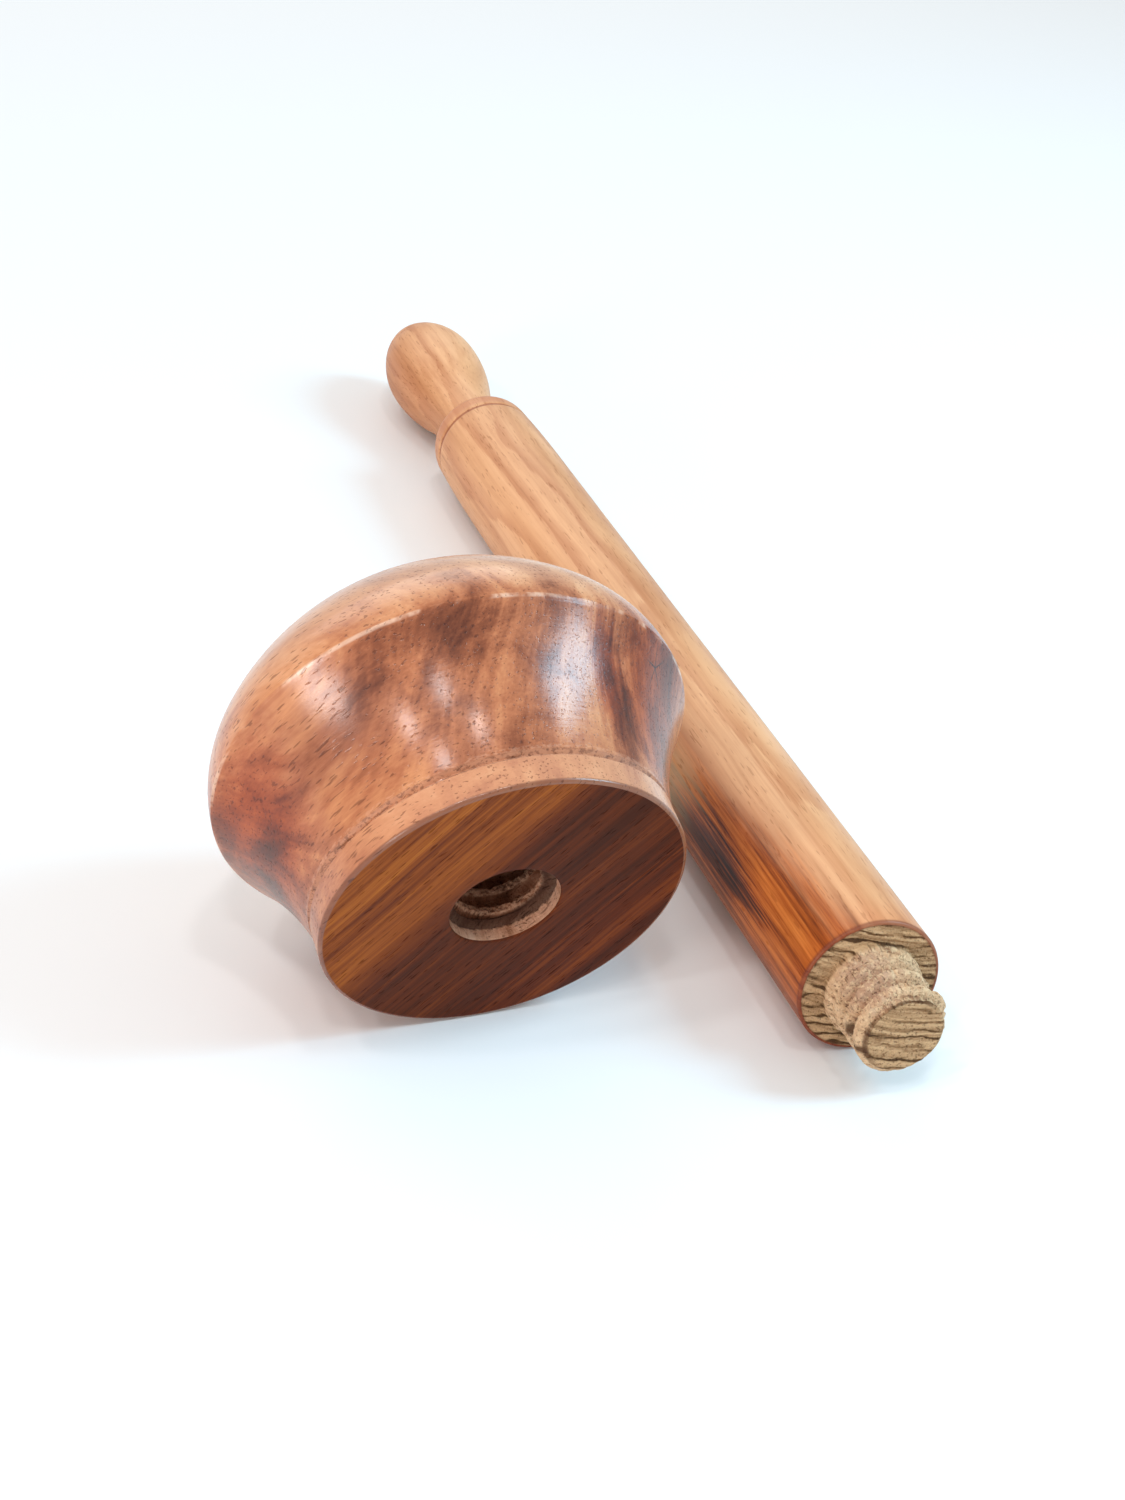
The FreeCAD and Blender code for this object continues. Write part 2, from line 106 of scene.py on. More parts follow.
def oval(rx, ry, rs):
    a = rx - rs
    rc = (a * a + ry * ry - rs * rs) / (2 * (ry - rs))
    cy = ry - rc
    ang = math.atan2(-cy, a) if rc > rs else math.atan2(cy, -a)
    return rc, cy, ang


def seg(a, b, n):
    t = np.linspace(0, 1, n)[1:]
    return [(a[0] + (b[0] - a[0]) * k, a[1] + (b[1] - a[1]) * k) for k in t]


def arc(c, r, t0, t1, n):
    t = np.linspace(t0, t1, n)[1:]
    return [(c[0] + r * math.cos(k), c[1] + r * math.sin(k)) for k in t]


def revolve(name, prof, tags, n_theta, shape, matrix, materials):
    """A closed turned solid. prof runs (radius, station) from pole to pole; shape
    returns the radius and the station of every point after its detail is added."""
    prof = np.array(prof, float)
    th = np.arange(n_theta) * 2 * math.pi / n_theta
    R, T = np.meshgrid(prof[1:-1, 0], th, indexing="ij")
    Z, _ = np.meshgrid(prof[1:-1, 1], th, indexing="ij")
    R, Z = shape(R, Z, T)
    X, Y = R * np.cos(T), R * np.sin(T)
    verts = np.concatenate([np.array([[0, 0, prof[0, 1]]]),
                            np.stack([X, Y, Z], -1).reshape(-1, 3),
                            np.array([[0, 0, prof[-1, 1]]])]) / 1000
    m = np.array(matrix)
    verts = verts @ m[:3, :3].T + m[:3, 3]
    n_ring = len(prof) - 2
    quads, tag = [], []
    i = np.arange(n_theta)
    j = (i + 1) % n_theta
    for k in range(n_ring - 1):
        a = 1 + k * n_theta
        quads.append(np.stack([a + i, a + j, a + n_theta + j, a + n_theta + i], -1))
        tag.append(np.full(n_theta, tags[k + 1]))
    quads = np.concatenate(quads)
    last = len(verts) - 1
    tris = np.concatenate([np.stack([np.zeros(n_theta, int), 1 + j, 1 + i], -1),
                           np.stack([np.full(n_theta, last), 1 + (n_ring - 1) * n_theta + i, 1 + (n_ring - 1) * n_theta + j], -1)])
    tag = np.concatenate(tag + [np.full(n_theta, tags[0]), np.full(n_theta, tags[n_ring])])
    mesh = bpy.data.meshes.new(name)
    mesh.from_pydata(verts.tolist(), [], quads.tolist() + tris.tolist())
    mesh.polygons.foreach_set("use_smooth", np.ones(len(mesh.polygons), bool))
    for m in materials:
        mesh.materials.append(m)
    mesh.polygons.foreach_set("material_index", tag.astype(np.int32))
    mesh.validate()
    bm = bmesh.new()
    bm.from_mesh(mesh)
    bmesh.ops.recalc_face_normals(bm, faces=bm.faces)
    bm.to_mesh(mesh)
    bm.free()
    obj = bpy.data.objects.new(name, mesh)
    bpy.context.scene.collection.objects.link(obj)
    return obj


# ---------------------------------------------------------------- materials
class Nodes:
    """Short-hand for building one node tree."""

    def __init__(self, name):
        self.mat = bpy.data.materials.new(name)
        self.mat.use_nodes = True
        self.t = self.mat.node_tree
        self.t.nodes.clear()

    def put(self, kind, **settings):
        n = self.t.nodes.new(kind)
        for k, v in settings.items():
            setattr(n, k, v)
        return n

    def wire(self, src, dst):
        if isinstance(src, (int, float)):
            dst.default_value = src
        elif isinstance(src, (tuple, list)):
            dst.default_value = src
        else:
            self.t.links.new(src, dst)

    def math(self, op, a, b=0.0, c=None, clamp=False):
        n = self.put("ShaderNodeMath", operation=op, use_clamp=clamp)
        self.wire(a, n.inputs[0])
        self.wire(b, n.inputs[1])
        if c is not None:
            self.wire(c, n.inputs[2])
        return n.outputs[0]

    def vec(self, op, a, b):
        n = self.put("ShaderNodeVectorMath", operation=op)
        self.wire(a, n.inputs[0])
        self.wire(b, n.inputs[1])
        return n.outputs[0]

    def dot(self, a, b):
        n = self.put("ShaderNodeVectorMath", operation="DOT_PRODUCT")
        self.wire(a, n.inputs[0])
        self.wire(b, n.inputs[1])
        return n.outputs["Value"]

    def xyz(self, v):
        n = self.put("ShaderNodeSeparateXYZ")
        self.wire(v, n.inputs[0])
        return n.outputs

    def comb(self, x, y, z):
        n = self.put("ShaderNodeCombineXYZ")
        self.wire(x, n.inputs[0])
        self.wire(y, n.inputs[1])
        self.wire(z, n.inputs[2])
        return n.outputs[0]

    def noise(self, v, scale=1.0, detail=3.0, rough=0.5, dist=0.0):
        n = self.put("ShaderNodeTexNoise", noise_dimensions="3D")
        self.wire(v, n.inputs["Vector"])
        n.inputs["Scale"].default_value = scale
        n.inputs["Detail"].default_value = detail
        n.inputs["Roughness"].default_value = rough
        n.inputs["Distortion"].default_value = dist
        return n.outputs["Fac"]

    def ramp(self, fac, stops, interp="LINEAR"):
        n = self.put("ShaderNodeValToRGB")
        e = n.color_ramp.elements
        n.color_ramp.interpolation = interp
        while len(e) < len(stops):
            e.new(0.5)
        for k, (pos, col) in enumerate(stops):
            e[k].position = pos
            e[k].color = (*col, 1) if not isinstance(col, (int, float)) else (col, col, col, 1)
        self.wire(fac, n.inputs[0])
        return n.outputs[0]

    def mix(self, fac, a, b, blend="MIX"):
        n = self.put("ShaderNodeMix", data_type="RGBA", blend_type=blend)
        self.wire(fac, n.inputs[0])
        self.wire(a if not isinstance(a, tuple) else (*a, 1), n.inputs[6])
        self.wire(b if not isinstance(b, tuple) else (*b, 1), n.inputs[7])
        return n.outputs[2]

    def range(self, v, a, b, c=0.0, d=1.0, smoothstep=True):
        n = self.put("ShaderNodeMapRange", interpolation_type="SMOOTHSTEP" if smoothstep else "LINEAR", clamp=True)
        self.wire(v, n.inputs[0])
        for k, x in enumerate((a, b, c, d), start=1):
            n.inputs[k].default_value = x
        return n.outputs[0]


def srgb(r, g, b):
    def f(c):
        c = c / 255
        return c / 12.92 if c <= 0.04045 else ((c + 0.055) / 1.055) ** 2.4
    return (f(r), f(g), f(b))


def place_mm(g, matrix):
    """Millimetres in a piece's own turning frame."""
    tc = g.put("ShaderNodeTexCoord")
    mm = g.vec("MULTIPLY", tc.outputs["Object"], (1000.0, 1000.0, 1000.0))
    o = matrix.translation * 1000
    mm = g.vec("SUBTRACT", mm, (o.x, o.y, o.z))
    return g.comb(*[g.dot(mm, tuple(matrix.col[k].to_3d())) for k in range(3)])


def spot(g, mm, at, size, edge=0.5, wobble=None, amount=0.0):
    """1 in the middle of a soft ellipsoid at 'at' with half-axes 'size', 0 outside it."""
    q = g.vec("DIVIDE", g.vec("SUBTRACT", mm, at), size)
    r = g.math("SQRT", g.dot(q, q))
    if wobble is not None:
        r = g.math("ADD", r, g.math("MULTIPLY", g.math("SUBTRACT", wobble, 0.5), amount))
    return g.range(r, 1.0 - edge, 1.0 + edge, 1.0, 0.0)


def wood(name, matrix, grain, across, stops, pith=(0.0, 90.0), band=0.16, fine=0.9, warp=4.0, pore=0.5, pore_dark=0.35,
         pore_size=1.0, rough=(0.38, 0.5), coat=0.0, coat_rough=0.12, specular=0.4, bump=0.25, mottle=0.12, contrast=1.0,
         weights=(0.62, 0.26, 0.16), shift=0.0, paint=None, relief=None):
    g = Nodes(name)
    mm = place_mm(g, matrix)
    third = tuple(Vector(grain).cross(Vector(across)))
    fx, fy, fz = g.dot(mm, tuple(grain)), g.dot(mm, tuple(across)), g.dot(mm, third)
    # slow wander of the layers along the fibres
    w = g.noise(g.comb(g.math("MULTIPLY", fx, 0.010), g.math("MULTIPLY", fy, 0.022), g.math("MULTIPLY", fz, 0.022)), 1.0, 2.0, 0.5)
    w = g.math("MULTIPLY", g.math("SUBTRACT", w, 0.5), warp * 4)
    yy = g.math("ADD", g.math("ADD", fy, pith[1]), w)
    zz = g.math("ADD", fz, pith[0])
    d = g.math("SQRT", g.math("ADD", g.math("MULTIPLY", yy, yy), g.math("MULTIPLY", zz, zz)))
    # broad colour bands, narrower streaks and fine fibre lines
    broad = g.noise(g.comb(g.math("MULTIPLY", fx, 0.004), g.math("MULTIPLY", d, band), g.math("MULTIPLY", fz, 0.012)), 1.0, 3.0, 0.55)
    thin = g.noise(g.comb(g.math("MULTIPLY", fx, 0.012), g.math("MULTIPLY", d, fine), g.math("MULTIPLY", fz, 0.06)), 1.0, 3.0, 0.6)
    fibre = g.noise(g.comb(g.math("MULTIPLY", fx, 0.07), g.math("MULTIPLY", fy, 1.9), g.math("MULTIPLY", fz, 1.9)), 1.0, 3.0, 0.65)
    blotch = g.noise(g.comb(g.math("MULTIPLY", fx, 0.05), g.math("MULTIPLY", fy, 0.11), g.math("MULTIPLY", fz, 0.11)), 1.0, 4.0, 0.62, 0.6)
    v = g.math("ADD", g.math("MULTIPLY", broad, weights[0] * contrast), g.math("MULTIPLY", thin, weights[1] * contrast))
    v = g.math("ADD", v, g.math("MULTIPLY", fibre, weights[2] * contrast))
    v = g.math("ADD", v, g.math("MULTIPLY", blotch, mottle))
    v = g.math("SUBTRACT", v, 0.5 * (sum(weights) * contrast + mottle) - 0.5 - shift)
    k = {"mm": mm, "fx": fx, "fy": fy, "fz": fz, "d": d, "fibre": fibre, "blotch": blotch, "thin": thin, "broad": broad, "v": v,
         "stops": stops}
    # vessels: short dark dashes along the fibres, dots on end grain
    p1 = g.noise(g.comb(g.math("MULTIPLY", fx, 0.22 * pore_size), g.math("MULTIPLY", fy, 2.1 * pore_size), g.math("MULTIPLY", fz, 2.1 * pore_size)),
                 1.0, 1.0, 0.5)
    p2 = g.noise(g.comb(g.math("MULTIPLY", fx, 0.02), g.math("MULTIPLY", d, 0.35), g.math("MULTIPLY", fz, 0.05)), 1.0, 2.0, 0.5)
    thr = g.math("SUBTRACT", p1, g.math("MULTIPLY", g.math("SUBTRACT", 1.0, p2), 0.14))
    pores = g.range(thr, 0.585 - 0.05 * pore, 0.66 - 0.05 * pore)
    k["pores"] = pores
    col = paint(g, k) if paint is not None else g.ramp(v, stops)
    pores = k["pores"]
    col = g.mix(g.math("MULTIPLY", pores, 1.0 - pore_dark), col, g.mix(1.0, col, (pore_dark, pore_dark * 0.8, pore_dark * 0.7), "MULTIPLY"))
    bsdf = g.put("ShaderNodeBsdfPrincipled")
    out = g.put("ShaderNodeOutputMaterial")
    g.wire(bsdf.outputs[0], out.inputs[0])
    g.wire(col, bsdf.inputs["Base Color"])
    r = g.range(g.math("ADD", g.math("MULTIPLY", fibre, 0.6), g.math("MULTIPLY", blotch, 0.4)), 0.3, 0.7, rough[0], rough[1], False)
    r = g.math("ADD", r, g.math("MULTIPLY", pores, 0.25))
    g.wire(r, bsdf.inputs["Roughness"])
    bsdf.inputs["Specular IOR Level"].default_value = specular
    bsdf.inputs["Coat Weight"].default_value = coat
    bsdf.inputs["Coat Roughness"].default_value = coat_rough
    h = g.math("SUBTRACT", g.math("MULTIPLY", fibre, 0.35), pores)
    if relief is not None:
        h = relief(g, h, k)
    b = g.put("ShaderNodeBump")
    b.inputs["Strength"].default_value = bump
    b.inputs["Distance"].default_value = 0.0002
    g.wire(h, b.inputs["Height"])
    g.wire(b.outputs[0], bsdf.inputs["Normal"])
    if coat > 0:
        b2 = g.put("ShaderNodeBump")
        b2.inputs["Strength"].default_value = bump * 0.6
        b2.inputs["Distance"].default_value = 0.0002
        g.wire(h, b2.inputs["Height"])
        g.wire(b2.outputs[0], bsdf.inputs["Coat Normal"])
    return g.mat


# head: fibres run across the turning axis, 54.6 degrees up from level
A = math.radians(54.6)
HG, HN = (math.cos(A), -math.sin(A), 0.0), (math.sin(A), math.cos(A), 0.0)
HEAD_STOPS = [(0.0, srgb(48, 20, 10)), (0.22, srgb(88, 40, 22)), (0.38, srgb(132, 70, 42)), (0.52, srgb(172, 102, 66)),
              (0.68, srgb(200, 132, 88)), (0.84, srgb(218, 156, 112)), (1.0, srgb(232, 180, 138))]
FACE_STOPS = [(0.0, srgb(40, 16, 8)), (0.30, srgb(66, 28, 12)), (0.47, srgb(92, 42, 18)), (0.60, srgb(124, 64, 26)),
              (0.76, srgb(158, 92, 40)), (0.90, srgb(186, 118, 56)), (1.0, srgb(204, 140, 76))]
RAW_STOPS = [(0.0, srgb(42, 20, 12)), (0.3, srgb(92, 52, 34)), (0.48, srgb(148, 94, 66)), (0.66, srgb(196, 142, 112)), (1.0, srgb(232, 190, 164))]
# handle: fibres along the turning axis
B = math.radians(12.3)
GN = (-math.sin(B), math.cos(B), 0.0)
HANDLE_STOPS = [(0.0, srgb(104, 58, 36)), (0.24, srgb(150, 92, 56)), (0.40, srgb(202, 142, 98)), (0.55, srgb(220, 163, 118)),
                (0.75, srgb(231, 179, 134)), (1.0, srgb(240, 198, 158))]
HEART_STOPS = [(0.0, srgb(24, 11, 6)), (0.28, srgb(50, 24, 11)), (0.42, srgb(106, 50, 20)), (0.56, srgb(160, 86, 38)),
               (0.75, srgb(198, 122, 64)), (1.0, srgb(218, 148, 92))]
END_STOPS = [(0.0, srgb(46, 30, 20)), (0.30, srgb(96, 68, 44)), (0.44, srgb(160, 122, 86)), (0.62, srgb(206, 166, 124)), (1.0, srgb(232, 198, 158))]


def lathe_marks(g, h, k):
    x, y, z = g.xyz(k["mm"])
    n = g.noise(g.comb(g.math("MULTIPLY", x, 0.02), g.math("MULTIPLY", y, 0.02), g.math("MULTIPLY", z, 2.2)), 1.0, 2.0, 0.6)
    return g.math("ADD", h, g.math("MULTIPLY", n, 0.35))


def paint_head(g, k):
    mm, blotch = k["mm"], k["blotch"]
    x, y, z = g.xyz(mm)
    v = k["v"]
    # lighter dome: paler wood and painted sheen; painted sheen along the band; darker end grain on the right
    dome = g.range(z, 33.6, 35.2)
    dome_tone_and_sheen = g.range(g.math("ADD", z, g.math("MULTIPLY", g.math("SUBTRACT", blotch, 0.5), 14.0)), 34.0, 46.0)
    lowside = g.math("ADD", g.math("MULTIPLY", x, -0.87), g.math("MULTIPLY", y, 0.5))
    band = g.math("MULTIPLY", g.range(z, 7.6, 6.4), g.range(lowside, 28.0, 2.0, 0.0, 1.0))
    right = spot(g, mm, (36.0, -27.0, 24.0), (14.0, 14.0, 18.0), 0.45, blotch, 0.9)
    streak = spot(g, mm, (21.0, -34.0, 24.0), (3.4, 9.0, 14.0), 0.6, k["thin"], 1.6)
    patch = spot(g, mm, (-20.0, -42.0, 31.0), (18.0, 12.0, 5.0), 0.6, blotch, 2.2)
    grey = spot(g, mm, (-30.0, -27.0, 24.0), (10.0, 22.0, 7.0), 0.7, k["thin"], 1.8)
    low = spot(g, mm, (-42.0, 2.0, 24.0), (10.0, 18.0, 14.0), 0.5, blotch, 0.8)
    dark = spot(g, mm, (-40.0, 9.0, 20.0), (9.0, 9.0, 5.0), 0.6, blotch, 2.0)
    # lift the dome, its top and the band with painted sheen (the dome partly paler wood too); darken the grain marks
    v = g.math("ADD", v, g.math("MULTIPLY", dome, 0.05))
    v = g.math("ADD", v, g.math("MULTIPLY", dome_tone_and_sheen, 0.08))
    v = g.math("ADD", v, g.math("MULTIPLY", band, 0.13))
    v = g.math("SUBTRACT", v, g.math("MULTIPLY", right, 0.10))
    v = g.math("SUBTRACT", v, g.math("MULTIPLY", streak, 0.17))
    v = g.math("SUBTRACT", v, g.math("MULTIPLY", patch, 0.12))
    v = g.math("SUBTRACT", v, g.math("MULTIPLY", dark, 0.14))
    v = g.math("SUBTRACT", v, g.math("MULTIPLY", low, 0.07))
    # painted shade on the flare just below the rim
    under = g.math("MULTIPLY", g.range(z, 22.0, 33.5), g.range(z, 35.0, 34.2))
    v = g.math("SUBTRACT", v, g.math("MULTIPLY", under, 0.05))
    col = g.ramp(v, k["stops"])
    # pale mix on the dome top: paler wood and painted sheen
    col = g.mix(g.math("MULTIPLY", dome_tone_and_sheen, 0.40), col, srgb(214, 174, 142))
    col = g.mix(g.math("MULTIPLY", grey, 0.55), col, g.mix(1.0, col, (0.62, 0.60, 0.74), "MULTIPLY"))
    warm = g.math("MAXIMUM", g.math("MULTIPLY", low, 0.95), g.math("MULTIPLY", g.math("MAXIMUM", right, streak), 0.85))
    col = g.mix(warm, col, g.mix(1.0, col, (0.84, 0.42, 0.15), "MULTIPLY"))
    # painted sheen along the band, fading towards the lower left
    col = g.mix(g.math("MULTIPLY", band, 0.30), col, srgb(210, 154, 126))
    # painted highlight: broken pale line along the rim
    line = g.range(g.math("ABSOLUTE", g.math("SUBTRACT", z, 34.6)), 0.55, 0.15)
    col = g.mix(g.math("MULTIPLY", line, g.range(blotch, 0.46, 0.62, 0.0, 0.5)), col, srgb(238, 206, 182))
    # small drying crack where the fibres come out
    c = g.vec("SUBTRACT", mm, (34.2, -28.7, 29.7))
    t = math.radians(320)
    u, w = g.dot(c, (-math.sin(t), math.cos(t), 0.0)), g.dot(c, (-0.25 * math.cos(t), -0.25 * math.sin(t), 0.97))
    r = g.math("SQRT", g.math("ADD", g.math("MULTIPLY", u, u), g.math("MULTIPLY", w, w)))
    a = g.math("ADD", g.math("MULTIPLY", g.math("ARCTAN2", u, w), 2.5), 0.7)
    line = g.math("MULTIPLY", g.math("ABSOLUTE", g.math("SINE", a)), r)
    crack = g.math("MULTIPLY", g.range(line, 0.42, 0.08), g.range(r, 4.6, 1.2))
    col = g.mix(crack, col, srgb(40, 16, 10))
    # torn fibres in the incised groove
    torn = g.noise(g.vec("MULTIPLY", mm, (0.9, 0.9, 1.6)), 1.0, 3.0, 0.7)
    groove = g.math("MULTIPLY", g.range(z, 6.1, 6.5), g.range(z, 8.3, 7.8))
    col = g.mix(g.math("MULTIPLY", groove, 0.60), col, srgb(196, 138, 106))
    col = g.mix(g.math("MULTIPLY", g.math("MULTIPLY", groove, g.range(torn, 0.48, 0.62)), 0.6), col, srgb(108, 62, 44))
    fringe = g.math("MULTIPLY", g.range(z, 7.9, 8.3), g.range(z, 9.0, 8.6))
    col = g.mix(g.math("MULTIPLY", fringe, g.range(torn, 0.58, 0.40, 0.0, 0.22)), col, srgb(226, 176, 146))
    edge = g.range(z, 1.0, 0.45)
    col = g.mix(g.math("MULTIPLY", edge, 0.75), col, srgb(104, 54, 34))
    # more open vessels low on the left
    more = g.noise(g.vec("MULTIPLY", mm, (1.15, 1.15, 1.15)), 1.0, 1.0, 0.5)
    k["pores"] = g.math("MAXIMUM", k["pores"], g.math("MULTIPLY", g.range(more, 0.62, 0.70), g.math("MAXIMUM", low, g.math("MULTIPLY", right, 0.7))))
    return col


def paint_face(g, k):
    fy = g.math("ADD", k["fy"], g.math("MULTIPLY", g.math("SUBTRACT", k["thin"], 0.5), 9.0))
    gold = g.range(fy, -6.0, -15.0)
    low = g.math("MULTIPLY", g.range(fy, 19.0, 23.0), g.range(fy, 33.0, 29.0))
    v = g.math("ADD", k["v"], g.math("MULTIPLY", gold, 0.23))
    v = g.math("ADD", v, g.math("MULTIPLY", low, 0.12))
    v = g.math("SUBTRACT", v, 0.11)
    col = g.ramp(v, k["stops"])
    col = g.mix(g.range(fy, 6.0, 24.0, 0.0, 0.5), col, g.mix(1.0, col, (0.92, 0.72, 0.62), "MULTIPLY"))
    return g.mix(1.0, col, (1.04, 0.90, 0.60), "MULTIPLY")


def paint_socket(g, k):
    x, y, z = g.xyz(k["mm"])
    rr = g.math("SQRT", g.math("ADD", g.math("MULTIPLY", x, x), g.math("MULTIPLY", y, y)))
    torn = g.noise(g.vec("MULTIPLY", k["mm"], (0.8, 0.8, 1.1)), 1.0, 4.0, 0.75)
    # lighter at the mouth, darker inside: painted shade
    col = g.ramp(g.math("ADD", k["v"], g.range(z, 4.2, 3.0, -0.02, 0.15)), k["stops"])
    # creamy torn crests; painted shade in the thread roots, deepening into the bore
    inner = g.range(z, 3.2, 4.2)
    crest = g.math("MULTIPLY", inner, g.range(rr, 9.25, 8.6))
    col = g.mix(g.math("MULTIPLY", inner, 0.55), col, g.mix(1.0, col, (0.42, 0.30, 0.22), "MULTIPLY"))
    col = g.mix(g.math("MULTIPLY", crest, g.range(torn, 0.62, 0.42, 0.05, 0.7)), col, srgb(212, 160, 128))
    # painted shadow in the gap under the ragged mouth step
    painted_gap_shade = g.math("MULTIPLY", g.range(g.math("ADD", z, g.math("MULTIPLY", torn, 1.6)), 3.4, 3.9), g.range(z, 4.8, 4.2))
    col = g.mix(g.math("MULTIPLY", painted_gap_shade, 0.8), col, srgb(50, 26, 18))
    # painted shade, darker towards the bottom of the bore
    painted_bore_shade = g.range(z, 9.0, 20.0)
    return g.mix(g.math("MULTIPLY", painted_bore_shade, 0.8), col, g.mix(1.0, col, (0.35, 0.26, 0.22), "MULTIPLY"))


def paint_handle(g, k):
    mm = k["mm"]
    x, y, z = g.xyz(mm)
    # heartwood: low on the left near the shoulder, thinning out up the grip
    side = g.math("ADD", g.math("MULTIPLY", x, -0.93), g.math("MULTIPLY", y, 0.36))
    edge = g.noise(g.comb(g.math("MULTIPLY", x, 0.28), g.math("MULTIPLY", y, 0.28), g.math("MULTIPLY", z, 0.018)), 1.0, 3.0, 0.6)
    lim = g.math("ADD", g.math("MULTIPLY", z, 0.085), g.math("MULTIPLY", g.math("SUBTRACT", edge, 0.5), 14.0))
    heart = g.range(g.math("SUBTRACT", side, lim), -3.5, 3.5)
    heart = g.math("MULTIPLY", heart, g.range(z, 190.0, 70.0))
    lines = g.noise(g.comb(g.math("MULTIPLY", x, 0.8), g.math("MULTIPLY", y, 0.8), g.math("MULTIPLY", z, 0.020)), 1.0, 5.0, 0.74)
    black = spot(g, mm, (-14.5, -2.5, 50.0), (6.0, 4.2, 24.0), 0.5, lines, 2.6)
    hv = g.math("ADD", g.math("MULTIPLY", lines, 1.05), g.math("MULTIPLY", k["broad"], 0.3))
    hv = g.math("SUBTRACT", g.math("SUBTRACT", hv, 0.11), g.math("MULTIPLY", black, 0.24))
    hcol = g.mix(1.0, g.ramp(hv, HEART_STOPS), (1.04, 0.92, 0.70), "MULTIPLY")
    olive = spot(g, mm, (-14.0, -4.5, 80.0), (7.0, 6.0, 16.0), 0.6, lines, 2.4)
    hcol = g.mix(g.math("MULTIPLY", olive, 0.7), hcol, srgb(176, 144, 104))
    v = g.math("SUBTRACT", k["v"], g.math("MULTIPLY", g.range(z, 110.0, 0.0), 0.05))
    col = g.ramp(v, k["stops"])
    # wandering darker layers
    wav = g.noise(g.comb(g.math("MULTIPLY", x, 0.05), g.math("MULTIPLY", y, 0.05), g.math("MULTIPLY", z, 0.011)), 1.0, 3.0, 0.5)
    f = g.math("ADD", g.math("MULTIPLY", k["d"], 0.11), g.math("MULTIPLY", wav, 2.6))
    f = g.math("ADD", f, g.math("MULTIPLY", g.math("SUBTRACT", k["fibre"], 0.5), 0.22))
    s = g.math("FRACT", f)
    late = g.math("MULTIPLY", g.range(s, 0.45, 0.86), g.range(s, 1.0, 0.92))
    col = g.mix(g.math("MULTIPLY", late, 0.46), col, g.mix(1.0, col, (0.66, 0.44, 0.31), "MULTIPLY"))
    soft = g.noise(g.comb(g.math("MULTIPLY", x, 0.22), g.math("MULTIPLY", y, 0.22), g.math("MULTIPLY", z, 0.012)), 1.0, 3.0, 0.6)
    col = g.mix(g.math("MULTIPLY", g.range(soft, 0.50, 0.66), 0.4), col, g.mix(1.0, col, (0.74, 0.56, 0.44), "MULTIPLY"))
    # painted shade from the head: grey darkening in the middle, beside the head
    painted_head_shade = spot(g, mm, (-12.0, -10.0, 118.0), (8.0, 8.0, 46.0), 0.6, lines, 1.0)
    col = g.mix(g.math("MULTIPLY", painted_head_shade, 0.6), col, g.mix(1.0, col, (0.62, 0.56, 0.52), "MULTIPLY"))
    col = g.mix(heart, col, hcol)
    # reddish rim at the shoulder, rings at the soft end and on the knob
    rim = g.range(z, 1.3, 0.4)
    col = g.mix(g.math("MULTIPLY", rim, 0.7), col, srgb(112, 56, 42))
    red = g.range(z, 11.0, 0.0)
    col = g.mix(g.math("MULTIPLY", red, 0.4), col, g.mix(1.0, col, (0.94, 0.70, 0.60), "MULTIPLY"))
    zj = g.math("ADD", z, g.math("MULTIPLY", g.math("SUBTRACT", k["fibre"], 0.5), 0.6))
    for at, half, amount, tint in ((264.0, 0.85, 0.8, srgb(150, 84, 56)), (334.5, 0.55, 0.5, srgb(176, 98, 66)), (338.6, 0.55, 0.42, srgb(176, 98, 66))):
        ring = g.range(g.math("ABSOLUTE", g.math("SUBTRACT", zj, at)), half, half * 0.5)
        col = g.mix(g.math("MULTIPLY", ring, amount), col, tint)
    # lip tinted reddish brown: its own colour and painted shade where it curves away
    lip = g.math("MULTIPLY", g.range(z, 264.2, 267.0), g.range(z, 276.5, 274.5))
    col = g.mix(g.math("MULTIPLY", lip, 0.5), col, srgb(190, 118, 84))
    knob = g.math("MULTIPLY", g.range(z, 274.0, 280.0), g.range(side, 2.0, 13.0))
    col = g.mix(g.math("MULTIPLY", knob, 0.55), col, g.mix(1.0, col, (0.72, 0.50, 0.36), "MULTIPLY"))
    return col


